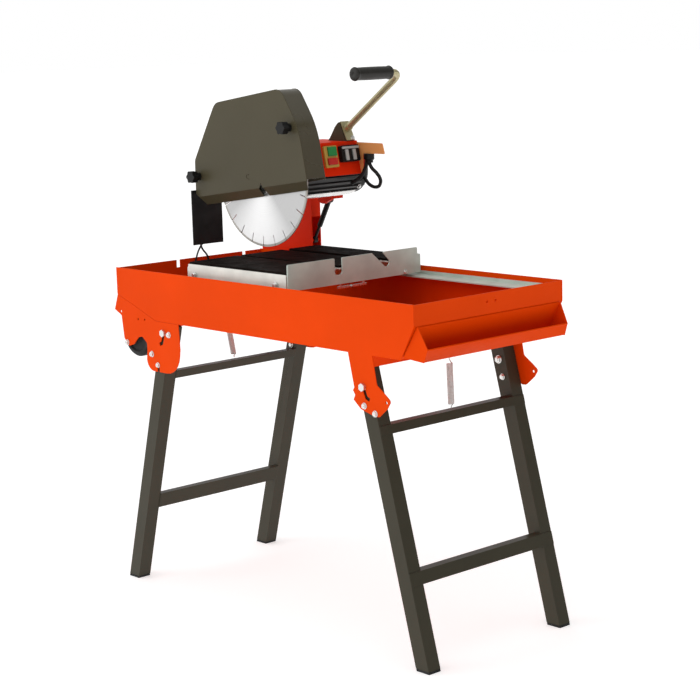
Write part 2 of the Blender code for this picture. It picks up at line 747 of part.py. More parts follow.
def boss_outline(low, high):
    """Outline of a plate with a round boss about the tilt axis, running out to two corners."""
    boss = TILT_BOSS
    return [(0, boss), (-boss, boss, boss - 1), (-boss, -boss, boss - 1), (0, -boss), low, high]


def build_swing_arm():
    """Hub on the swing pin, beam, trunnion plate with the tilt pin, and the strut's lug."""
    arm = plate("swing_arm", "red_paint", boss_outline((185, -34), (185, 24)), tilt_frame(), 0, TILT_PLATE)
    pin = rod("cut_tilt_pin", "zinc", on_tilt(4, 0, 0), on_tilt(36, 0, 0), TILT_PIN_RADIUS)
    hub_far = TRAY_HALF_WIDTH - SHEET - GAP
    hub = rod("cut_hub", "red_paint", at_y(SWING_PIVOT, HUB_NEAR_Y), at_y(SWING_PIVOT, hub_far), 22)
    beam_outline = [(-444, 878), (-300, 903), (-296, 960), (-330, 958), (-444, 913)]
    beam = plate("cut_beam", "red_paint", beam_outline, "xz", 160, 204)
    lug_outline = [
        (-310, 905), (-250, 884), (-251, 861, 6), (-232, 857, 8), (-204, 869, 3), (-204, 886), (-230, 894),
        (-300, 920),
    ]
    lug_arm = plate("cut_lug_arm", "red_paint", lug_outline, "xz", 200, 209)
    lug = box("cut_lug", "red_paint", (-229, 208, 870), (-203, 236, 882))
    top_pin = rod("cut_top_pin", "red_paint", at_y(STRUT_HEAD, 207), at_y(STRUT_HEAD, 236),
                  STRUT_PIN_RADIUS, 16)
    join(arm, pin, hub, beam, lug_arm, lug, top_pin)
    bore = rod("cut_hub_bore", "red_paint", at_y(SWING_PIVOT, HUB_NEAR_Y - 10),
               at_y(SWING_PIVOT, hub_far + 10), SHAFT_RADIUS + GAP)
    return cut(arm, bore)


def build_strut():
    """Gas strut: rod with its eye in the column recess, cylinder with its eye on the arm's pin."""
    foot = Vector(at_y(STRUT_FOOT, STRUT_Y))
    head = Vector(at_y(STRUT_HEAD, STRUT_Y))
    along = (head - foot).normalized()
    length = (head - foot).length
    half = 5.5
    low = STRUT_Y - half
    high = STRUT_Y + half
    hole = circle(STRUT_FOOT, STRUT_PIN_RADIUS + GAP, 16)
    eye = plate("strut_rod", "zinc", circle(STRUT_FOOT, 8, 20), "xz", low, high, [hole])
    join(eye, rod("cut_strut_bar", "zinc", foot + along * 6.5, foot + along * 62, 3.5, 16))
    cup = [(0, length - 7), (6.3, length - 7), (6.3, 40), (3.9, 40), (3.9, 95), (0, 95)]
    barrel = turned("strut_cylinder", "black_plastic", cup, foot, along, 20)
    join(barrel, plate("cut_top_eye", "black_plastic", circle(STRUT_HEAD, 9, 20), "xz", low, high))
    bore = rod("cut_top_eye_bore", "black_plastic", at_y(STRUT_HEAD, low - 3), at_y(STRUT_HEAD, high + 3),
               STRUT_PIN_RADIUS + 1.4, 16)
    cut(barrel, bore)
    hang("strut_rod_pivot", foot, [eye])
    hang("strut_slide", foot, [barrel])


def build_head_plate():
    """Tilting plate on the tilt pin, with the arm that carries the motor."""
    bore = circle((0, 0), TILT_PIN_RADIUS + GAP)
    head = plate("head_plate", "red_paint", boss_outline((130, -25), (130, 28)), tilt_frame(),
                 TILT_PLATE + GAP, 23, [bore])
    reach = BLADE_CENTRE[0] - MOTOR_RADIUS - 0.4
    return join(head, box("cut_motor_arm", "red_paint", (-288, 60, 924), (reach, 148, 962)))


def motor_outline():
    """Ring of cooling ribs seen on end."""
    points = []
    pitch = 2 * math.pi / MOTOR_RIBS
    for index in range(MOTOR_RIBS):
        for share, depth in RIB_PROFILE:
            points.append(around(BLADE_CENTRE, MOTOR_RADIUS - depth, (index + share) * pitch))
    return points


def build_motor():
    body = plate("motor_body", "motor_paint", motor_outline(), "xz", GUARD_FAR_Y + GAP, 206.7)
    bore = rod("cut_motor_bore", "motor_paint", at_y(BLADE_CENTRE, -40), at_y(BLADE_CENTRE, 62),
               SHAFT_RADIUS + GAP)
    cut(body, bore)
    profile = [(0, 25), (38, 25), (45, 22), (50, 14), (50, 0), (0, 0)]
    cover = turned("motor_end_cover", "black_plastic", profile, at_y(BLADE_CENTRE, 207), (0, 1, 0), 36)
    return [body, cover]


def build_guard():
    """Guard shell open towards the operator's left, closed by a bolted cover with a turned-in lip."""
    rim = rounded(GUARD_OUTLINE)[:-5]
    rim[0] = Vector((-359.9, 901))
    rim[-1] = Vector((24.4, 945))
    shell = plate("guard_shell", "olive_paint", GUARD_OUTLINE, "xz", GUARD_FAR_Y - SHEET, GUARD_FAR_Y,
                  [circle(BLADE_CENTRE, 13)])
    strip = plate("cut_guard_rim", "olive_paint", band(rim, 0.7, 0.7 + SHEET), "xz",
                  GUARD_NEAR_Y + SHEET, GUARD_FAR_Y - 1)
    join(shell, strip)
    holes = [circle(point, 4 + GAP, 16) for point in KNOB_POINTS]
    cover = plate("guard_cover", "olive_paint", GUARD_OUTLINE, "xz",
                  GUARD_NEAR_Y, GUARD_NEAR_Y + SHEET - GAP, holes)
    along = Vector((math.cos(GUARD_SLOPE), 0, math.sin(GUARD_SLOPE)))
    normal = along.cross(Vector((0, 1, -1))).normalized()
    lip = axes(along, normal.cross(along), (-348, GUARD_NEAR_Y + 1.0, 890))
    rear = [(-0.5, -1.6), (214, -1.6), (207, 26), (2, 26)]
    front = [(230, -1.6), (376, -1.6), (355, 26), (226, 26)]
    for name, outline in (("rear", rear), ("front", front)):
        join(cover, plate(f"cut_lip_{name}", "olive_paint", outline, lip, -0.8, 0.8))
    return [shell, cover]


def build_knob(name, point):
    """A lobed hand knob with its stem through the guard cover."""
    outline = []
    for index in range(KNOB_POINT_COUNT):
        turn = 2 * math.pi * index / KNOB_POINT_COUNT
        outline.append(around(point, 13 + 1.4 * math.cos(KNOB_LOBES * turn), turn))
    knob = plate(name, "black_plastic", outline, "xz", GUARD_NEAR_Y - 26, GUARD_NEAR_Y - 11)
    collar = rod(f"cut_collar_{name}", "black_plastic", at_y(point, GUARD_NEAR_Y - 12),
                 at_y(point, GUARD_NEAR_Y - GAP), 9)
    stem = rod(f"cut_stem_{name}", "black_plastic", at_y(point, GUARD_NEAR_Y - 3),
               at_y(point, GUARD_NEAR_Y + 8), 4, 16)
    join(knob, collar, stem)
    hang(f"{name}_pivot", at_y(point, GUARD_NEAR_Y), [knob])


def build_spindle():
    """Shaft, blade with slit segments, two flanges and the nut, all turning together."""
    half = BLADE_THICKNESS / 2
    slit_half = SLIT_WIDTH / 2 / BLADE_RADIUS
    outline = []
    pitch = 2 * math.pi / SEGMENTS
    inner = BLADE_RADIUS - SLIT_DEPTH
    for index in range(SEGMENTS):
        start = FIRST_SLIT + index * pitch
        for turn, radius in (
            (start - slit_half, BLADE_RADIUS), (start - slit_half, inner), (start + slit_half, inner),
            (start + slit_half, BLADE_RADIUS), (start + pitch * 0.25, BLADE_RADIUS),
            (start + pitch * 0.5, BLADE_RADIUS), (start + pitch * 0.75, BLADE_RADIUS),
        ):
            outline.append(around(BLADE_CENTRE, radius, turn))
    bore = [circle(BLADE_CENTRE, SHAFT_RADIUS + GAP)]
    pieces = [plate("blade", "blade_steel", outline, "xz", BLADE_Y - half, BLADE_Y + half, bore)]
    shaft = rod("motor_shaft", "zinc", at_y(BLADE_CENTRE, -66), at_y(BLADE_CENTRE, 60), SHAFT_RADIUS)
    pieces.append(shaft)
    ring = [(SHAFT_RADIUS + GAP, 8), (20, 8), (34, 4), (34, 0), (SHAFT_RADIUS + GAP, 0)]
    inner_y = BLADE_Y + half + GAP
    outer_y = BLADE_Y - half - GAP
    pieces.append(turned("inner_flange", "zinc", ring, at_y(BLADE_CENTRE, inner_y), (0, 1, 0), 32, True))
    pieces.append(turned("outer_flange", "zinc", ring, at_y(BLADE_CENTRE, outer_y), (0, -1, 0), 32, True))
    nut_y = outer_y - 8 - GAP
    pieces.append(plate("blade_nut", "zinc", circle(BLADE_CENTRE, 17, 6), "xz", nut_y - 9, nut_y, bore))
    hang("spindle_pivot", at_y(BLADE_CENTRE, 0), pieces)


def panel_frame():
    """Axes of the control panel: local x across (world +Y), local y up the panel, z out of it."""
    up = Vector((PANEL_TOP[0] - PANEL_FOOT[0], 0, PANEL_TOP[1] - PANEL_FOOT[1])).normalized()
    return axes(Vector((0, 1, 0)), up, at_y(PANEL_FOOT, 0))


def build_control_box():
    """Box over the motor with a front skirt, open underneath, and the side wing over the inlet."""
    floor_z = BLADE_CENTRE[1] + MOTOR_RADIUS + 0.8
    skirt_x = -96.0
    outline = [
        (-200, floor_z), (-200, 1010, 4), (*PANEL_TOP, 3), PANEL_FOOT, (skirt_x, PANEL_FOOT[1]),
        (skirt_x, floor_z),
    ]
    case = plate("control_box", "red_paint", outline, "xz", BOX_NEAR_Y, BOX_FAR_Y)
    hollow = [
        (-198, 980), (-198, 1008), (-82, 1008), (-67.4, 930), (skirt_x + SHEET, 930),
        (skirt_x + SHEET, 980),
    ]
    inside = plate("cut_box_inside", "red_paint", hollow, "xz", BOX_NEAR_Y + SHEET, BOX_FAR_Y - SHEET)
    cut(case, inside)
    wing = [(-96, 1006), (4, 1005, 3), (10, 982, 3), (-56, 982, 3), (-58, 938, 3), (-72, 938), (-92, 990)]
    join(case, plate("cut_wing", "red_paint", wing, "xz", BOX_FAR_Y - 2.6, BOX_FAR_Y - 0.5))
    return case


def build_controls():
    """Switch with its two buttons, and the socket block."""
    start = rectangle(74, 99, 44, 64)
    stop = rectangle(70.5, 98.5, 24.5, 39.5)
    windows = [rectangle(73.7, 99.3, 43.7, 64.3), rectangle(70.2, 98.8, 24.2, 39.8)]
    panel = panel_frame()
    frame = plate("switch_frame", "gold_plastic", rectangle(64, 102, 18.8, 67, 3), panel, GAP, 6, windows)
    block = plate("socket_block", "black_plastic", rectangle(110, 163, 28, 64.7, 3), panel, GAP, 12)
    buttons = (("start_button", "green_plastic", start), ("stop_button", "stop_plastic", stop))
    for name, look, outline in buttons:
        button = plate(name, look, outline, panel, 3.6, 9)
        middle = Vector((outline[0][0] + outline[1][0], outline[0][1] + outline[2][1])) / 2
        place = panel @ (Vector((*middle, 0)) * MM) / MM
        hang(f"{name}_slide", place, [button])
    return [frame, block]


def build_handle():
    """Bracket on the control box, bent bar and rubber grip."""
    foot_z = PANEL_TOP[1] + GAP
    outline = [(-81, foot_z), (-101, 1054, 4), (-116, 1040), (-127, 1024), (-138, foot_z)]
    bracket = plate("handle_bracket", "olive_paint", outline, "xz", 138, 141)
    flange = band([(-80, foot_z + 0.2), (-100.4, 1052)], -1.2, 1.2)
    join(bracket, plate("cut_handle_flange", "olive_paint", flange, "xz", 139.5, 164))
    path = [
        at_y(HANDLE_START, HANDLE_Y), (*at_y(HANDLE_CORNER, HANDLE_Y), 30), at_y(HANDLE_CORNER, 12),
    ]
    tube = pipe("handle_tube", "yellow_zinc", path, TUBE_RADIUS, 4)
    bore = TUBE_RADIUS + 0.5
    rim = GRIP_RADIUS + 1
    profile = [
        (bore, 108), (rim, 108), (rim, 104), (GRIP_RADIUS, 100), (GRIP_RADIUS, 8), (rim, 4), (rim, 2),
        (13, 0), (0, 0), (0, 3), (bore, 3),
    ]
    grip = turned("handle_grip", "black_rubber", profile, at_y(HANDLE_CORNER, 8), (0, 1, 0), 24, True)
    return [bracket, tube, grip]


def build_head():
    swing = build_swing_arm()
    hang("head_swing_pivot", at_y(SWING_PIVOT, 0), [swing])
    build_strut()
    pieces = [build_head_plate(), build_control_box()]
    pieces += [*build_motor(), *build_guard(), *build_controls(), *build_handle()]
    gland = [(0, 20), (12, 20), (12, 8), (9, 5), (9, 0), (0, 0)]
    pieces.append(turned("cable_gland", "black_plastic", gland, (-40, 170.5, 961.5), (0, 0, 1), 20))
    pieces.append(box("rear_flap", "black_rubber", (-363.4, -82, 800), (-360.4, 8, 908)))
    hang("head_tilt_pivot", TILT_POINT, pieces)
    for name, point in zip(("knob_front", "knob_rear"), KNOB_POINTS):
        build_knob(name, point)
    build_spindle()


def recentre():
    """Shift everything so that the origin is under the middle of the machine's outline."""
    shift = Matrix.Translation(-Vector(ORIGIN) * MM)
    for obj in (*PARTS.objects, *CUTTERS.objects):
        if obj.parent is None:
            obj.matrix_basis = shift @ obj.matrix_basis


build_frame()
build_stand()
build_cart()
build_head()
recentre()
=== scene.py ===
"""Looks for the masonry saw: procedural finishes on the CAD nodes and the small parts around them.

Lengths in the tables are millimetres from the middle of the tray at floor level: X along the tray, Y across
it, Z up. ORIGIN is the saw's own origin in that frame, and each finished piece is moved by it.
"""

import json
import math

import bmesh
import bpy
from mathutils import Matrix, Vector


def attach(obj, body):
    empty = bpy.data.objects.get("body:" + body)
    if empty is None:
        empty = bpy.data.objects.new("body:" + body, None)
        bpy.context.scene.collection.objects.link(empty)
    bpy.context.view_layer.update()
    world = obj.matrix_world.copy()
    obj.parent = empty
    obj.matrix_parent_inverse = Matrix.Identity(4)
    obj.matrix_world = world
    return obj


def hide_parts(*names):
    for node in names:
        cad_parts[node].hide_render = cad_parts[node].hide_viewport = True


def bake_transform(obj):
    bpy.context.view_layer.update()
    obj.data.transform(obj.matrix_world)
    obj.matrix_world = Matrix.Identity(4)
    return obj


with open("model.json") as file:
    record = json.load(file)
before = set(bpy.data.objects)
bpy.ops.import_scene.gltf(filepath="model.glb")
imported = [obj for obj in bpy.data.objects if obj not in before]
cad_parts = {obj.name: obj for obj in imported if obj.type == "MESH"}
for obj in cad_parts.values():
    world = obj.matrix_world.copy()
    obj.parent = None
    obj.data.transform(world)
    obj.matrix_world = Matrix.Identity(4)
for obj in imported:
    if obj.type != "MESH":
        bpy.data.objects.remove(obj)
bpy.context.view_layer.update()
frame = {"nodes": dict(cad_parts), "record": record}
NODES = frame["nodes"]
MM = 0.001
ORIGIN = Vector((4.73, 14.25, 0.0))
SIDES = (("near", -1), ("far", 1))

# Camera: its azimuth, height and roll, the point it looks at, its distance in metres and its lens
AZIMUTH = math.radians(47.78)
ELEVATION = math.radians(9.88)
ROLL = math.radians(-1.69)
TARGET = (Vector((34.24, 28.69, 565.12)) - ORIGIN) * MM
DISTANCE = 4.0003
LENS = 94.16

# Studio, in metres: where the soft light comes from, its darkest and brightest levels, and the key light
SKY_SIDE = Vector((-0.5, -0.62, 0.6))
SKY_DARK = 0.06
SKY_BRIGHT = 1.08
FLOOR_GLOW = 0.5
KEY_PLACE = (-1.9, -3.4, 2.9)
KEY_AIM = (0.0, 0.0, 0.7)
KEY_SIZE = 2.2
KEY_POWER = 18.0
FLOOR_REACH = 60.0

# Finish of the CAD nodes: how close points weld, in metres, and the edges kept sharp or rounded
WELD_DISTANCE = 1e-5
SMOOTH_ANGLE = math.radians(28.0)
EASE_ANGLE = math.radians(30.0)

# Blade: its middle, where its diamond rim starts, and the painted highlight, a lighter wedge painted into
# the colour of its face
BLADE_CENTRE = (-152.0, -46.0, 937.5)
RIM_START = 144.5
RIM_FULL = 145.2
HIGHLIGHT_TURN = math.radians(-97.0)
HIGHLIGHT_EDGE = 0.66
HIGHLIGHT_CORE = 0.995

# Planes and lines that several small pieces share
BRACKET_FACE_Y = 215.0
LEG_FACE_Y = 178.0
PIVOT_FACE_Y = 177.6
CART_SIDE_Y = 192.0
REAR_BRACKET_BOLTS = ((-295, 597, 5.2), (-361, 547, 5.2), (-340, 524, 4.6), (-454, 564, 5.0))
FENCE_BACK_X = 88.3
SPRING_WIRE = 1.2
SPRING_RADIUS = 7.0
SPRING_HOOK = 12.0
MAT_TOP = 762.0
MAT_FOOT = 757.4
GROOVE_PITCH = 5.0
GROOVE_DEPTH = 1.5
GRIP_LENGTH = 108.0
COVER_FACE_Y = -72.3


# ---------------------------------------------------------------- node material helpers

class Look:
    """Builds one node-based material around a Principled shader."""

    def __init__(self, name):
        self.material = bpy.data.materials.new(name)
        self.material.use_nodes = True
        self.tree = self.material.node_tree
        self.shader = self.tree.nodes["Principled BSDF"]
        self.coords = self.tree.nodes.new("ShaderNodeTexCoord").outputs["Object"]

    def node(self, kind, **values):
        made = self.tree.nodes.new(kind)
        for key, value in values.items():
            if key in made.inputs:
                made.inputs[key].default_value = value
            else:
                setattr(made, key, value)
        return made

    def link(self, output, target):
        self.tree.links.new(output, target)

    def noise(self, scale, detail=3.0, stretch=None):
        made = self.node("ShaderNodeTexNoise", Scale=scale, Detail=detail)
        source = self.coords
        if stretch:
            mapping = self.node("ShaderNodeMapping", Scale=stretch)
            self.link(source, mapping.inputs["Vector"])
            source = mapping.outputs["Vector"]
        self.link(source, made.inputs["Vector"])
        return made.outputs["Fac"]

    def spread(self, value, low, high):
        """Map a 0..1 noise onto a range."""
        made = self.node("ShaderNodeMapRange")
        made.inputs["From Min"].default_value = 0.3
        made.inputs["From Max"].default_value = 0.7
        made.inputs["To Min"].default_value = low
        made.inputs["To Max"].default_value = high
        self.link(value, made.inputs["Value"])
        return made.outputs["Result"]

    def mix(self, factor, first, second):
        made = self.node("ShaderNodeMix", data_type="RGBA")
        for socket, value in ((6, first), (7, second)):
            if isinstance(value, tuple):
                made.inputs[socket].default_value = (*value, 1)
            else:
                self.link(value, made.inputs[socket])
        if isinstance(factor, float):
            made.inputs[0].default_value = factor
        else:
            self.link(factor, made.inputs[0])
        return made.outputs[2]

    def bump(self, height, strength, distance):
        made = self.node("ShaderNodeBump", Strength=strength, Distance=distance)
        self.link(height, made.inputs["Height"])
        self.link(made.outputs["Normal"], self.shader.inputs["Normal"])

    def colour(self, source):
        if isinstance(source, tuple):
            self.shader.inputs["Base Color"].default_value = (*source, 1)
        else:
            self.link(source, self.shader.inputs["Base Color"])

    def roughness(self, low, high, scale=8.0):
        self.link(self.spread(self.noise(scale), low, high), self.shader.inputs["Roughness"])

    def metallic(self, value):
        self.shader.inputs["Metallic"].default_value = value


def shade(color, factor):
    return tuple(channel * factor for channel in color)


def paint(name, color, low=0.28, high=0.42, peel=0.06, coat=0.25, specular=0.5):
    """Powder coat: slight colour drift, orange-peel bump and uneven gloss."""
    look = Look(name)
    drift = look.spread(look.noise(5.0, 4.0), 0.0, 1.0)
    look.colour(look.mix(drift, shade(color, 0.93), shade(color, 1.05)))
    look.roughness(low, high, 14.0)
    look.bump(look.noise(420.0, 2.0), peel, 0.0006)
    look.shader.inputs["Specular IOR Level"].default_value = specular
    look.shader.inputs["Coat Weight"].default_value = coat
    look.shader.inputs["Coat Roughness"].default_value = 0.18
    return look.material


def plated(name, color, low=0.22, high=0.42, stretch=(1.0, 1.0, 1.0), grain=60.0, metallic=0.85):
    """Plated or galvanised steel with a directional grain and cloudy patches."""
    look = Look(name)
    cloud = look.spread(look.noise(22.0, 4.0), 0.0, 1.0)
    look.colour(look.mix(cloud, shade(color, 0.82), shade(color, 1.0)))
    look.metallic(metallic)
    grain_noise = look.noise(grain, 3.0, stretch)
    look.link(look.spread(grain_noise, low, high), look.shader.inputs["Roughness"])
    look.bump(grain_noise, 0.08, 0.0003)
    return look.material


def rubber(name, color, scale=500.0, strength=0.25, low=0.55, high=0.8, specular=0.35):
    """Matt rubber with a fine grain and a little pale dust."""
    look = Look(name)
    dust = look.spread(look.noise(9.0, 5.0), 0.0, 1.0)
    look.colour(look.mix(dust, color, shade(color, 1.7)))
    look.roughness(low, high, 30.0)
    look.bump(look.noise(scale, 3.0), strength, 0.0004)
    look.shader.inputs["Specular IOR Level"].default_value = specular
    return look.material


def plastic(name, color, low=0.3, high=0.45, specular=0.5):
    """Moulded plastic with a slight drift in colour and gloss."""
    look = Look(name)
    drift = look.spread(look.noise(40.0, 2.0), 0.0, 1.0)
    look.colour(look.mix(drift, shade(color, 0.92), shade(color, 1.08)))
    look.roughness(low, high, 60.0)
    look.bump(look.noise(900.0, 2.0), 0.08, 0.0002)
    look.shader.inputs["Specular IOR Level"].default_value = specular
    return look.material


def blade_look(centre):
    """Ground steel core with turning marks and a painted highlight in a lighter wedge, and a darker,
    grittier diamond rim.
    """
    look = Look("blade_steel")
    offset = look.node("ShaderNodeVectorMath", operation="SUBTRACT")
    look.link(look.coords, offset.inputs[0])
    offset.inputs[1].default_value = (Vector(centre) - ORIGIN) * MM
    flat = look.node("ShaderNodeVectorMath", operation="MULTIPLY")
    look.link(offset.outputs[0], flat.inputs[0])
    flat.inputs[1].default_value = (1, 0, 1)
    radius = look.node("ShaderNodeVectorMath", operation="LENGTH")
    look.link(flat.outputs[0], radius.inputs[0])
    rim = look.node("ShaderNodeMapRange")
    rim.inputs["From Min"].default_value = RIM_START * MM
    rim.inputs["From Max"].default_value = RIM_FULL * MM
    look.link(radius.outputs["Value"], rim.inputs["Value"])
    rings = look.node("ShaderNodeTexNoise", Scale=900.0, Detail=2.0)
    rings.noise_dimensions = "1D"
    look.link(radius.outputs["Value"], rings.inputs["W"])
    # Painted highlight: the colour turns lighter near one direction from the middle and its opposite,
    # standing in for the light on the turned steel
    spoke = look.node("ShaderNodeVectorMath", operation="NORMALIZE")
    look.link(flat.outputs[0], spoke.inputs[0])
    toward = look.node("ShaderNodeVectorMath", operation="DOT_PRODUCT")
    look.link(spoke.outputs[0], toward.inputs[0])
    toward.inputs[1].default_value = (math.cos(HIGHLIGHT_TURN), 0, math.sin(HIGHLIGHT_TURN))
    either = look.node("ShaderNodeMath", operation="ABSOLUTE")
    look.link(toward.outputs["Value"], either.inputs[0])
    highlight_wedge = look.node("ShaderNodeMapRange")
    highlight_wedge.inputs["From Min"].default_value = HIGHLIGHT_EDGE
    highlight_wedge.inputs["From Max"].default_value = HIGHLIGHT_CORE
    look.link(either.outputs[0], highlight_wedge.inputs["Value"])
    turned = look.spread(rings.outputs["Fac"], 0.0, 1.0)
    # Steel outside the painted highlight, and the lighter steel inside it
    dull = look.mix(turned, (0.50, 0.50, 0.50), (0.62, 0.62, 0.62))
    painted_highlight = look.mix(turned, (0.88, 0.88, 0.88), (0.96, 0.96, 0.96))
    core = look.mix(highlight_wedge.outputs["Result"], dull, painted_highlight)
    grit = look.mix(look.noise(1400.0, 2.0), (0.38, 0.37, 0.34), (0.62, 0.60, 0.56))
    look.colour(look.mix(rim.outputs["Result"], core, grit))
    rough = look.node("ShaderNodeMapRange")
    rough.inputs["To Min"].default_value = 0.3
    rough.inputs["To Max"].default_value = 0.6
    look.link(rim.outputs["Result"], rough.inputs["Value"])
    look.link(rough.outputs["Result"], look.shader.inputs["Roughness"])
    look.metallic(0.75)
    look.bump(rings.outputs["Fac"], 0.05, 0.0002)
    return look.material


ORANGE = (0.79, 0.058, 0.001)
RED = (0.82, 0.026, 0.002)
OLIVE = (0.068, 0.058, 0.032)
LEG = (0.042, 0.037, 0.022)

# Stretch that draws a grain out along X
DRAWN = (0.3, 6.0, 6.0)

MATERIALS = {
    "orange_paint": paint("orange_paint", ORANGE, 0.32, 0.44, coat=0.0, specular=0.03),
    "red_paint": paint("red_paint", RED, 0.32, 0.44, coat=0.0, specular=0.05),
    "olive_paint": paint("olive_paint", OLIVE, 0.32, 0.46, peel=0.05, coat=0.03, specular=0.2),
    "guard_paint": paint("guard_paint", OLIVE, 0.24, 0.34, peel=0.03, coat=0.3),
    "leg_paint": paint("leg_paint", LEG, 0.32, 0.44, peel=0.05, coat=0.04, specular=0.2),
    "motor_paint": paint("motor_paint", (0.018, 0.017, 0.016), 0.3, peel=0.1, coat=0.15, specular=0.4),
    # Side panel: a lighter orange than the tray, a painted sheen on its face
    "wing_sheen_paint": paint("wing_sheen_paint", (1.0, 0.42, 0.14), 0.3, coat=0.02, specular=0.3),
    "grey_plate": plated("grey_plate", (0.60, 0.68, 0.61), 0.42, 0.58, DRAWN, 30.0, metallic=0.1),
    "cart_plate": plated("cart_plate", (0.86, 0.85, 0.79), 0.34, 0.5, DRAWN, 30.0, metallic=0.25),
    "zinc": plated("zinc", (0.80, 0.80, 0.78), 0.16, 0.32),
    "spring_wire": plated("spring_wire", (0.72, 0.74, 0.72), 0.22, 0.36, metallic=0.1),
    "yellow_zinc": plated("yellow_zinc", (0.52, 0.47, 0.27), 0.32, 0.46, grain=80.0, metallic=0.6),
    "blade_steel": blade_look(BLADE_CENTRE),
    "black_rubber": rubber("black_rubber", (0.008, 0.008, 0.008)),
    "grip_rubber": rubber("grip_rubber", (0.012, 0.011, 0.009), 700.0, 0.1, 0.35, 0.5),
    "mat_rubber": rubber("mat_rubber", (0.005, 0.003, 0.002), 260.0, 0.4, 0.55, 0.75, specular=0.04),
    "black_plastic": plastic("black_plastic", (0.009, 0.009, 0.009), specular=0.2),
    "grey_plastic": plastic("grey_plastic", (0.42, 0.42, 0.40)),
    "green_plastic": plastic("green_plastic", (0.02, 0.26, 0.06), 0.2, 0.3),
    "stop_plastic": plastic("stop_plastic", (0.58, 0.02, 0.015), 0.2, 0.3),
    "gold_plastic": plastic("gold_plastic", (0.55, 0.34, 0.06), 0.25, 0.35),
}

# Nodes whose finish differs from their material slot; the strut's rod is black as painted shade, where it
# sits in the dark recess at the column's foot
SPECIAL = {"cart_frame": "cart_plate", "strut_rod": "black_plastic", "guard_shell": "guard_paint"}


# ---------------------------------------------------------------- CAD nodes: finish and eased edges

def smoothing_group():
    """Geometry nodes that smooth every face and keep the edges above SMOOTH_ANGLE sharp."""
    group = bpy.data.node_groups.new("smooth_by_angle", "GeometryNodeTree")
    group.interface.new_socket("Geometry", in_out="INPUT", socket_type="NodeSocketGeometry")
    group.interface.new_socket("Geometry", in_out="OUTPUT", socket_type="NodeSocketGeometry")
    start = group.nodes.new("NodeGroupInput")
    end = group.nodes.new("NodeGroupOutput")
    angle = group.nodes.new("GeometryNodeInputMeshEdgeAngle")
    soft = group.nodes.new("FunctionNodeCompare")
    soft.operation = "LESS_THAN"
    soft.inputs["B"].default_value = SMOOTH_ANGLE
    faces = group.nodes.new("GeometryNodeSetShadeSmooth")
    faces.domain = "FACE"
    edges = group.nodes.new("GeometryNodeSetShadeSmooth")
    edges.domain = "EDGE"
    group.links.new(start.outputs[0], faces.inputs["Geometry"])
    group.links.new(faces.outputs["Geometry"], edges.inputs["Geometry"])
    group.links.new(angle.outputs["Unsigned Angle"], soft.inputs["A"])
    group.links.new(soft.outputs["Result"], edges.inputs["Shade Smooth"])
    group.links.new(edges.outputs["Geometry"], end.inputs[0])
    return group


SMOOTHING = smoothing_group()


def ease(obj, width):
    """Weld the imported triangles, smooth the round faces and round the sharp edges a little."""
    weld = obj.modifiers.new("weld", "WELD")
    weld.merge_threshold = WELD_DISTANCE
    obj.modifiers.new("smooth", "NODES").node_group = SMOOTHING
    if not width:
        return
    bevel = obj.modifiers.new("ease", "BEVEL")
    bevel.width = width * MM
    bevel.segments = 2
    bevel.limit_method = "ANGLE"
    bevel.angle_limit = EASE_ANGLE
    bevel.harden_normals = True


# Edge radius of each eased node, in millimetres
EASED = {
    "tray": 0.5, "column": 1.2, "swing_arm": 1.0, "head_plate": 1.0, "control_box": 0.8, "guard_shell": 0.5,
    "guard_cover": 0.5, "front_leg_frame": 0.6, "rear_leg_frame": 0.6, "front_foot_near": 1.0,
    "front_foot_far": 1.0, "rear_foot_near": 1.0, "rear_foot_far": 1.0, "cart_frame": 0.5, "fence": 0.6,
    "rail_near": 0.4, "rail_far": 0.4, "wheel_bracket_near": 0.5, "wheel_bracket_far": 0.5,
    "handle_bracket": 0.5, "socket_block": 1.2, "switch_frame": 0.8, "start_button": 1.0, "stop_button": 1.0,
    "rear_flap": 0.8, "mat_near": 0.8, "mat_middle": 0.8, "mat_far": 0.8, "blade": 0.15,
    "cross_channel_front": 0.4, "cross_channel_rear": 0.4, "blade_nut": 0.8, "motor_body": 0.5,
    "end_trough": 0.5,
}


def dress_nodes():
    """Give every CAD node its finish and its eased edges."""
    slots = {entry["node"]: entry["material_slot"] for entry in frame["record"]["subparts"]}
    for name, obj in NODES.items():
        look = SPECIAL.get(name, slots[name])
        obj.data.materials.clear()
        obj.data.materials.append(MATERIALS[look])
        ease(obj, EASED.get(name, 0.0))


# ---------------------------------------------------------------- small visible pieces

def show(name, mesh, body, slot, look=None, replaces=(), blend=None):
    """Put a finished mesh in the scene, moved to the saw's own origin, on its body, or baked in place on no
    body when blend is given.
    """
    mesh.transform(Matrix.Translation(-ORIGIN * MM))
    mesh.materials.clear()
    mesh.materials.append(MATERIALS[look or slot])
    obj = bpy.data.objects.new(name, mesh)
    bpy.context.scene.collection.objects.link(obj)
    if blend:
        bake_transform(obj)
    else:
        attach(obj, body)
    if replaces:
        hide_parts(*replaces)
    return obj


def add_mesh(name, work, body, slot, smooth=False, **extra):
    """Turn finished bmesh work into a shown piece, with its faces all pointing outwards."""
    bmesh.ops.recalc_face_normals(work, faces=work.faces)
    for face in work.faces:
        face.smooth = smooth
    mesh = bpy.data.meshes.new(name)
    work.to_mesh(mesh)
    work.free()
    return show(name, mesh, body, slot, **extra)


def turned_to(heading, point):
    """Frame at a point, in metres, whose Z axis follows a heading."""
    turn = Vector((0, 0, 1)).rotation_difference(Vector(heading)).to_matrix().to_4x4()
    turn.translation = Vector(point) * MM
    return turn


def drum(work, radius, low, high, count, top=None):
    """Add a closed drum between two heights, with an optional smaller top."""
    top = radius if top is None else top
    made = bmesh.ops.create_cone(
        work, cap_ends=True, segments=count, radius1=radius * MM, radius2=top * MM, depth=(high - low) * MM,
    )
    bmesh.ops.translate(work, vec=(0, 0, (low + high) / 2 * MM), verts=made["verts"])


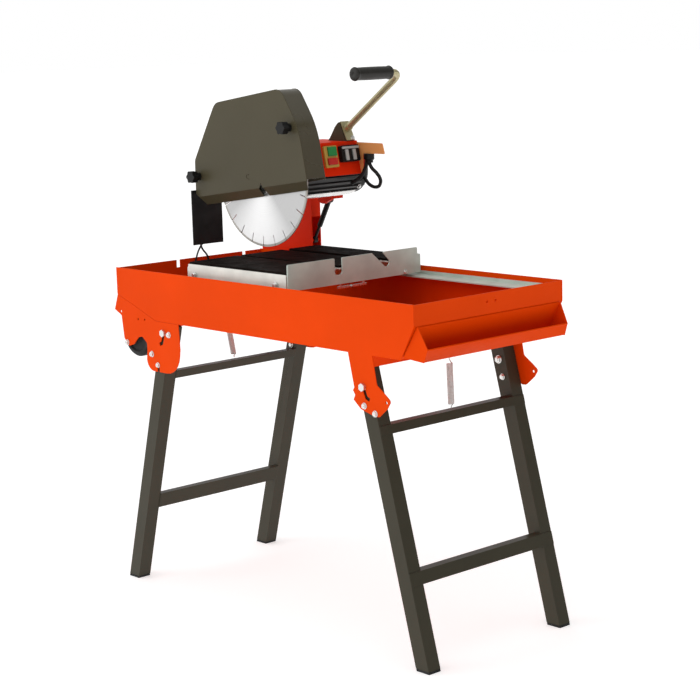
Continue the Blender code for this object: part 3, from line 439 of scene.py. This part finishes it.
def hex_bolt(name, body, point, heading, size):
    """Washer, hexagon head with its chamfer, and the end of the shank."""
    work = bmesh.new()
    drum(work, size * 1.35, 0.0, 1.2, 28)
    drum(work, size * 1.3, 1.2, 1.5, 28, size * 1.25)
    base = 1.5
    drum(work, size * 1.12, base, base + size * 0.6, 6)
    drum(work, size * 1.12, base + size * 0.6, base + size * 0.75, 6, size * 0.9)
    drum(work, size * 0.4, base + size * 0.7, base + size * 0.85, 16)
    bmesh.ops.transform(work, matrix=turned_to(heading, point), verts=work.verts)
    return add_mesh(name, work, body, "zinc")


def dome_screw(name, body, point, heading, size, slot="zinc"):
    """Low round head in five turned steps."""
    work = bmesh.new()
    steps = 5
    for index in range(steps):
        low = index / steps * math.pi / 2
        high = (index + 1) / steps * math.pi / 2
        top = max(size * math.cos(high), size * 0.35)
        drum(work, size * math.cos(low), size * 0.6 * math.sin(low), size * 0.6 * math.sin(high), 20, top)
    bmesh.ops.transform(work, matrix=turned_to(heading, point), verts=work.verts)
    return add_mesh(name, work, body, slot, smooth=True)


def line(name, body, points, radius, slot, smooth=True, resolution=3, **extra):
    """A round bar or cable through points, in a smooth curve or with straight runs."""
    curve = bpy.data.curves.new(name, "CURVE")
    curve.dimensions = "3D"
    curve.bevel_depth = radius * MM
    curve.bevel_resolution = resolution
    curve.use_fill_caps = True
    if smooth:
        spline = curve.splines.new("BEZIER")
        spline.bezier_points.add(len(points) - 1)
        for target, point in zip(spline.bezier_points, points):
            target.co = Vector(point) * MM
            target.handle_left_type = "AUTO"
            target.handle_right_type = "AUTO"
        spline.resolution_u = 10
    else:
        spline = curve.splines.new("POLY")
        spline.points.add(len(points) - 1)
        for target, point in zip(spline.points, points):
            target.co = (*(Vector(point) * MM), 1)
    holder = bpy.data.objects.new(name, curve)
    bpy.context.scene.collection.objects.link(holder)
    bpy.context.view_layer.update()
    mesh = bpy.data.meshes.new_from_object(holder)
    bpy.data.objects.remove(holder)
    for face in mesh.polygons:
        face.use_smooth = True
    return show(name, mesh, body, slot, **extra)


def slab(name, body, low, high, slot, bevel=0.5, turn=None, **extra):
    """A small block with rounded edges, in an optional local frame."""
    low = Vector(low)
    high = Vector(high)
    work = bmesh.new()
    bmesh.ops.create_cube(work, size=1)
    bmesh.ops.scale(work, vec=(high - low) * MM, verts=work.verts)
    bmesh.ops.translate(work, vec=(high + low) / 2 * MM, verts=work.verts)
    bmesh.ops.bevel(work, geom=work.edges[:], offset=bevel * MM, segments=2, affect="EDGES", profile=0.5)
    if turn is not None:
        bmesh.ops.transform(work, matrix=turn, verts=work.verts)
    return add_mesh(name, work, body, slot, **extra)


def prism(name, body, outline, low, high, slot, plane="xz", **extra):
    """Give an outline thickness along Y (plane xz) or along X (plane yz)."""
    work = bmesh.new()
    for first, second in outline:
        spot = (first, low, second) if plane == "xz" else (low, first, second)
        work.verts.new(Vector(spot) * MM)
    face = work.faces.new(work.verts)
    made = bmesh.ops.extrude_face_region(work, geom=[face])
    moved = [item for item in made["geom"] if isinstance(item, bmesh.types.BMVert)]
    way = Vector((0, 1, 0)) if plane == "xz" else Vector((1, 0, 0))
    bmesh.ops.translate(work, vec=way * (high - low) * MM, verts=moved)
    return add_mesh(name, work, body, slot, **extra)


def lathe(name, body, profile, point, heading, slot, steps=48, **extra):
    """Turn a closed (radius, height) outline about an axis through a point."""
    work = bmesh.new()
    rings = []
    for radius, height in profile:
        ring = []
        for step in range(steps):
            turn = 2 * math.pi * step / steps
            spot = Vector((radius * math.cos(turn), radius * math.sin(turn), height))
            ring.append(work.verts.new(spot * MM))
        rings.append(ring)
    for index, lower in enumerate(rings):
        upper = rings[(index + 1) % len(rings)]
        for step in range(steps):
            after = (step + 1) % steps
            work.faces.new((lower[step], lower[after], upper[after], upper[step]))
    bmesh.ops.transform(work, matrix=turned_to(heading, point), verts=work.verts)
    return add_mesh(name, work, body, slot, smooth=True, **extra)


def arc(centre, radius, start, end, count):
    """Points on an arc, angles in degrees."""
    points = []
    for index in range(count + 1):
        turn = math.radians(start + (end - start) * index / count)
        points.append((centre[0] + radius * math.cos(turn), centre[1] + radius * math.sin(turn)))
    return points


def coil(name, body, node, top, foot, turns):
    """Wound spring with a straight hook at each end, in place of the CAD envelope."""
    radius = SPRING_RADIUS - SPRING_WIRE
    per_turn = 14
    top = Vector(top)
    foot = Vector(foot)
    along = (foot - top).normalized()
    side = Vector((0, 1, 0))
    other = along.cross(side)
    start = 20.0
    end = (foot - top).length - 8.0
    points = [top, top + along * SPRING_HOOK]
    for index in range(turns * per_turn + 1):
        angle = 2 * math.pi * index / per_turn
        spot = top + along * (start + (end - start) * index / (turns * per_turn))
        points.append(spot + side * radius * math.cos(angle) + other * radius * math.sin(angle))
    points += [foot - along * 4, foot]
    return line(name, body, points, SPRING_WIRE, "zinc", smooth=False, resolution=2,
                look="spring_wire", replaces=(node,))


def panel_frame():
    """Frame of the control panel: X across, Y up the panel, Z out of it."""
    foot = Vector((-65.0, 0, 936.6))
    up = (Vector((-80.0, 0, 1010.0)) - foot).normalized()
    turn = Matrix((Vector((0, 1, 0)), up, Vector((0, 1, 0)).cross(up))).transposed().to_4x4()
    turn.translation = foot * MM
    return turn


# ---------------------------------------------------------------- pieces on the frame, legs and cart

def build_fasteners():
    """Bolts, nuts and screws of the brackets, cart, legs, wheels and head."""
    for side, sign in SIDES:
        out = (0, sign, 0)
        back = (0, -sign, 0)
        face = sign * BRACKET_FACE_Y
        for index, (x, z, size) in enumerate(REAR_BRACKET_BOLTS):
            hex_bolt(f"rear_bracket_bolt_{side}_{index}", "frame", (x, face, z), out, size)
        for index, (x, z) in enumerate(((341, 520), (372, 508))):
            hex_bolt(f"front_bracket_bolt_{side}_{index}", "frame", (x, face, z), out, 5.0)
        for index, x in enumerate((-222, 52)):
            hex_bolt(f"axle_bolt_{side}_{index}", "cart", (x, sign * CART_SIDE_Y, 734.8), out, 5.0)
        hex_bolt(f"front_pivot_nut_{side}", "frame", (338, sign * PIVOT_FACE_Y, 557.5), back, 6.5)
        hex_bolt(f"rear_pivot_nut_{side}", "frame", (-315, sign * PIVOT_FACE_Y, 599), back, 6.5)
        hex_bolt(f"front_lock_nut_{side}", "front_legs", (348, sign * LEG_FACE_Y, 521), back, 5.0)
        hex_bolt(f"rear_lock_nut_{side}", "rear_legs", (-338, sign * LEG_FACE_Y, 517), back, 5.0)
        dome_screw(f"wheel_cap_{side}", "frame", (-428, sign * 181, 581), back, 7.5)
    for index, y in enumerate((-2, 60, 120)):
        dome_screw(f"box_screw_{index}", "head", (-188, y, 1010), (0, 0, 1), 3.0)
    hex_bolt("tilt_nut", "swing", (-280.6, 20, 942.6), (0.990268, 0, 0.139173), 15.0)


def build_tray_trim():
    """Rolled hem along the trough's lip and the rivets in its floor."""
    line("trough_hem", "frame", [(507.6, -202, 647.4), (507.6, 202, 647.4)], 1.9, "orange_paint",
         smooth=False)
    for index, y in enumerate((-150, 0, 150)):
        dome_screw(f"trough_rivet_{index}", "frame", (459.5, y, 632.6), (-0.3, 0, 0.954), 3.0)


def build_springs():
    """Wound coils in place of the two plain leg springs."""
    coil("front_spring_coil", "front_spring", "front_leg_spring", (366, 0, 598), (369.5, 0, 485), turns=34)
    coil("rear_spring_coil", "rear_spring", "rear_leg_spring", (-356, 0, 598), (-335.5, 0, 512), turns=24)


def mat_outline(low, high):
    """Cross section of a mat: shallow grooves in the top, flat underneath."""
    groove = MAT_TOP - GROOVE_DEPTH
    count = round((high - low) / GROOVE_PITCH)
    step = (high - low) / count
    points = [(low, MAT_FOOT)]
    for index in range(count):
        start = low + index * step
        points += [(start, groove), (start + 0.7, groove)]
        points += [(start + 1.0, MAT_TOP), (start + step - 0.6, MAT_TOP)]
        points.append((start + step - 0.3, groove))
    points += [(high, groove), (high, MAT_FOOT)]
    return points


def build_cart_trim():
    """Ribbed mats, the latch bar under the fence and the fence's bolt."""
    for side, low, high in (("near", -187, -52), ("middle", -40, 78.5), ("far", 101.5, 187)):
        prism(f"ribbed_mat_{side}", "cart", mat_outline(low, high), -244.8, 82.8, "black_rubber",
              plane="yz", look="mat_rubber", replaces=(f"mat_{side}",))
    slab("latch_bar", "cart", (85.8, -50, 713), (88.2, 34, 718.5), "zinc", bevel=0.8)
    for index, y in enumerate((-42, 26)):
        slab(f"latch_hanger_{index}", "cart", (85.9, y - 3, 716), (88.1, y + 3, 727), "zinc", bevel=0.7)
    dome_screw("latch_pin", "cart", (88.2, -11, 715.6), (1, 0, 0), 4.0)
    hex_bolt("fence_bolt", "cart", (FENCE_BACK_X, 150, 728), (1, 0, 0), 4.0)


# ---------------------------------------------------------------- pieces on the head

def build_guard_trim():
    """Pressed dimple low on the guard cover."""
    dimple = [(x, COVER_FACE_Y, z) for x, z in arc((-171.5, 942.8), 5.5, 50, 310, 20)]
    line("cover_dimple", "head", dimple, 0.7, "olive_paint", smooth=False, resolution=2)


def build_motor_trim():
    """Pale strip for the painted highlight under the motor, the screws and vanes of its end cover, and a
    bolt low at its end.
    """
    centre = (BLADE_CENTRE[0], BLADE_CENTRE[2])
    # Painted highlight: a pale zinc strip along the motor's underside, where its lowest edge catches the
    # light
    outline = arc(centre, 54.2, -118, -52, 14) + arc(centre, 52.2, -52, -118, 14)
    prism("motor_highlight_strip", "head", outline, -14, 200, "zinc", smooth=False)
    for index in range(4):
        x, z = arc(centre, 43.0, 45 + 90 * index, 45 + 90 * index, 1)[0]
        dome_screw(f"cover_screw_{index}", "head", (x, 227.5, z), (0, 1, 0), 3.4)
    for index in range(10):
        turn = 36 * index
        inner = arc(centre, 14.0, turn, turn + 14, 4)
        outer = arc(centre, 33.0, turn + 14, turn, 4)
        prism(f"cover_vane_{index}", "head", inner + outer, 231.8, 233.4, "black_plastic",
              look="motor_paint")
    hex_bolt("motor_end_bolt", "head", (-104.0, 196, 905.0), (0.72, 0, -0.69), 4.0)


def build_controls():
    """Socket bars on the control panel, and a skin over the side panel beside them in a lighter orange that
    paints in its sheen.
    """
    turn = panel_frame()
    slab("socket_bar_top", "head", (112, 56.5, 11.5), (161, 61.5, 15), "black_plastic", bevel=0.8,
         turn=turn, look="grey_plastic")
    for index, low in enumerate((119, 141)):
        slab(f"socket_bar_{index}", "head", (low, 31, 11.5), (low + 9, 55, 15.5), "black_plastic",
             bevel=1.0, turn=turn, look="grey_plastic")
    # Skin over the side panel, its lighter orange a painted sheen
    wing = [(-96.2, 1006.2), (2, 1005.3), (5, 1002), (10.4, 983), (9, 981.7), (-55.5, 981.7), (-57.6, 978),
            (-57.6, 939), (-59, 937.8), (-72, 937.8), (-92.2, 990)]
    prism("wing_panel", "head", wing, 169.1, 171.8, "red_paint", look="wing_sheen_paint")


def grip_profile():
    """Closed outline of the handle grip: soft swelling, a collar at each end and a hollow middle."""
    steps = 48
    round_off = 3.0
    points = []
    for index in range(steps + 1):
        height = GRIP_LENGTH * (1 - index / steps)
        radius = 13.4 + 0.6 * math.sin(math.pi * height / GRIP_LENGTH)
        for collar in (5.0, GRIP_LENGTH - 5.0):
            radius += 1.5 * math.exp(-(((height - collar) / 3.0) ** 2))
        edge = min(height, GRIP_LENGTH - height)
        if edge < round_off:
            radius -= round_off * (1 - math.sqrt(1 - (1 - edge / round_off) ** 2))
        points.append((radius, height))
    return points + [(0.05, 0.0), (0.05, 3.0), (8.1, 3.0), (8.1, GRIP_LENGTH)]


def build_handle_trim():
    """Soft grip, and the handle's flange, bolt and collar."""
    lathe("soft_grip", "head", grip_profile(), (92, 8, 1162), (0, 1, 0), "black_rubber",
          look="grip_rubber", replaces=("handle_grip",))
    flange = [(-78.6, 1011.4), (-99.0, 1052.6), (-97.6, 1053.3), (-77.2, 1012.1)]
    prism("handle_flange", "head", flange, 139.6, 164, "yellow_zinc")
    hex_bolt("handle_bolt", "head", (-79.6, 157.5, 1016.5), (0.897, 0, 0.441), 4.0)
    line("handle_collar", "head", [(-84.5, 150, 1039.5), (-79.5, 150, 1043.0)], 9.4, "yellow_zinc",
         smooth=False)


def build_flap():
    """Rubber flap hanging behind the guard, slightly bowed."""
    work = bmesh.new()
    across = 14
    down = 16
    low_y, high_y, low_z, high_z = -84.0, 2.0, 780.0, 905.0
    layers = []
    for offset in (0.0, 2.6):
        rows = []
        for row in range(down + 1):
            fall = row / down
            z = high_z + (low_z - high_z) * fall
            cells = []
            for cell in range(across + 1):
                y = low_y + (high_y - low_y) * cell / across
                x = -363.2 - 2.0 * fall * math.sin(math.pi * cell / across) + offset
                cells.append(work.verts.new(Vector((x, y, z)) * MM))
            rows.append(cells)
        layers.append(rows)
    for rows in layers:
        for above, below in zip(rows, rows[1:]):
            for cell in range(across):
                work.faces.new((above[cell], above[cell + 1], below[cell + 1], below[cell]))
    first, second = layers
    ways = [(0, cell) for cell in range(across)] + [(row, across) for row in range(down)]
    ways += [(down, cell) for cell in range(across, 0, -1)] + [(row, 0) for row in range(down, 0, -1)]
    rim = [first[row][cell] for row, cell in ways]
    mate = [second[row][cell] for row, cell in ways]
    for index in range(len(rim)):
        after = (index + 1) % len(rim)
        work.faces.new((rim[index], rim[after], mate[after], mate[index]))
    add_mesh("splash_flap", work, "head", "black_rubber", replaces=("rear_flap",))


def build_cables():
    """Motor cables, and the hose and cable that run from the tray up to the swing arm."""
    line("motor_cable", "head", [
        (-40, 170, 962), (-34, 172, 950), (-22, 176, 938), (-16, 180, 926), (-24, 187, 913), (-45, 196, 905),
        (-78, 206, 908), (-104, 214, 922),
    ], 4.0, "black_plastic", look="black_rubber")
    line("inlet_cable", "head", [(-44, 168, 964), (-50, 167, 948), (-62, 164, 930), (-84, 156, 914)], 4.4,
         "black_plastic", look="black_rubber")
    line("water_hose", "frame", [
        (-290, -110, 698), (-296, -106, 706), (-306, -98, 690), (-318, -70, 642), (-350, -10, 635),
        (-400, 30, 653), (-440, 46, 668), (-473, 50, 684), (-479.5, 50, 704), (-479.5, 47, 732),
        (-479.6, 30, 756), (-479, 27, 766), (-464, 18, 774), (-440, 4, 785), (-414, -2, 830),
        (-402, 8, 880), (-385, 20, 925), (-345, 22, 940), (-306, 20, 938),
    ], 2.3, "black_plastic", look="black_rubber", blend=("swing", (-479, 30, 757), (-400, 8, 890)))
    line("pump_cable", "frame", [
        (-315, -110, 660), (-326, -100, 640), (-352, -70, 634), (-400, -30, 652), (-440, -8, 667),
        (-473, 2, 684), (-479.5, 8, 712), (-479.5, 16, 742), (-479.5, 25, 757), (-468, 26, 770),
        (-442, 10, 788), (-412, 4, 832),
        (-400, 16, 880), (-385, 30, 922), (-345, 31, 938), (-306, 29, 936),
    ], 2.0, "black_plastic", look="black_rubber", blend=("swing", (-479, 25, 757), (-400, 16, 890)))


# ---------------------------------------------------------------- studio

def build_floor():
    """Pale floor with a faint glow, so that it stays white away from the saw."""
    work = bmesh.new()
    bmesh.ops.create_grid(work, x_segments=1, y_segments=1, size=FLOOR_REACH)
    mesh = bpy.data.meshes.new("floor")
    work.to_mesh(mesh)
    work.free()
    floor = bpy.data.objects.new("floor", mesh)
    bpy.context.scene.collection.objects.link(floor)
    look = Look("floor")
    look.colour((0.80, 0.80, 0.80))
    look.shader.inputs["Roughness"].default_value = 0.8
    look.shader.inputs["Specular IOR Level"].default_value = 0.1
    look.shader.inputs["Emission Color"].default_value = (1, 1, 1, 1)
    look.shader.inputs["Emission Strength"].default_value = FLOOR_GLOW
    mesh.materials.append(look.material)


def build_world():
    """White to the camera; to everything else, a soft box of light from the near left."""
    world = bpy.data.worlds.new("studio")
    world.use_nodes = True
    tree = world.node_tree
    background = tree.nodes["Background"]
    background.inputs["Color"].default_value = (1, 1, 1, 1)
    direction = tree.nodes.new("ShaderNodeTexCoord")
    facing = tree.nodes.new("ShaderNodeVectorMath")
    facing.operation = "DOT_PRODUCT"
    facing.inputs[1].default_value = SKY_SIDE.normalized()
    level = tree.nodes.new("ShaderNodeMapRange")
    level.inputs["From Min"].default_value = -1.0
    level.inputs["To Min"].default_value = SKY_DARK
    level.inputs["To Max"].default_value = SKY_BRIGHT
    ray = tree.nodes.new("ShaderNodeLightPath")
    choose = tree.nodes.new("ShaderNodeMix")
    choose.inputs["B"].default_value = 1.0
    tree.links.new(direction.outputs["Generated"], facing.inputs[0])
    tree.links.new(facing.outputs["Value"], level.inputs["Value"])
    tree.links.new(level.outputs["Result"], choose.inputs["A"])
    tree.links.new(ray.outputs["Is Camera Ray"], choose.inputs["Factor"])
    tree.links.new(choose.outputs["Result"], background.inputs["Strength"])
    bpy.context.scene.world = world


def build_light():
    """One large, soft key light."""
    light = bpy.data.lights.new("key", "AREA")
    light.energy = KEY_POWER
    light.size = KEY_SIZE
    holder = bpy.data.objects.new("key", light)
    holder.location = KEY_PLACE
    holder.rotation_euler = (Vector(KEY_AIM) - Vector(KEY_PLACE)).to_track_quat("-Z", "Y").to_euler()
    bpy.context.scene.collection.objects.link(holder)


def build_camera():
    """Camera on a line back from its target, rolled a little."""
    level = math.cos(ELEVATION)
    back = Vector((math.sin(AZIMUTH) * level, -math.cos(AZIMUTH) * level, math.sin(ELEVATION)))
    right = Vector((math.cos(AZIMUTH), math.sin(AZIMUTH), 0))
    up = back.cross(right)
    across = right * math.cos(ROLL) + up * math.sin(ROLL)
    above = up * math.cos(ROLL) - right * math.sin(ROLL)
    data = bpy.data.cameras.new("camera")
    data.lens = LENS
    data.sensor_width = 36.0
    camera = bpy.data.objects.new("camera", data)
    turn = Matrix((across, above, back)).transposed().to_4x4()
    turn.translation = TARGET + back * DISTANCE
    camera.matrix_world = turn
    bpy.context.scene.collection.objects.link(camera)
    bpy.context.scene.camera = camera
    bpy.context.scene.view_settings.view_transform = "Standard"


dress_nodes()
build_fasteners()
build_tray_trim()
build_springs()
build_cart_trim()
build_guard_trim()
build_motor_trim()
build_controls()
build_handle_trim()
build_flap()
build_cables()
build_floor()
build_world()
build_light()
build_camera()
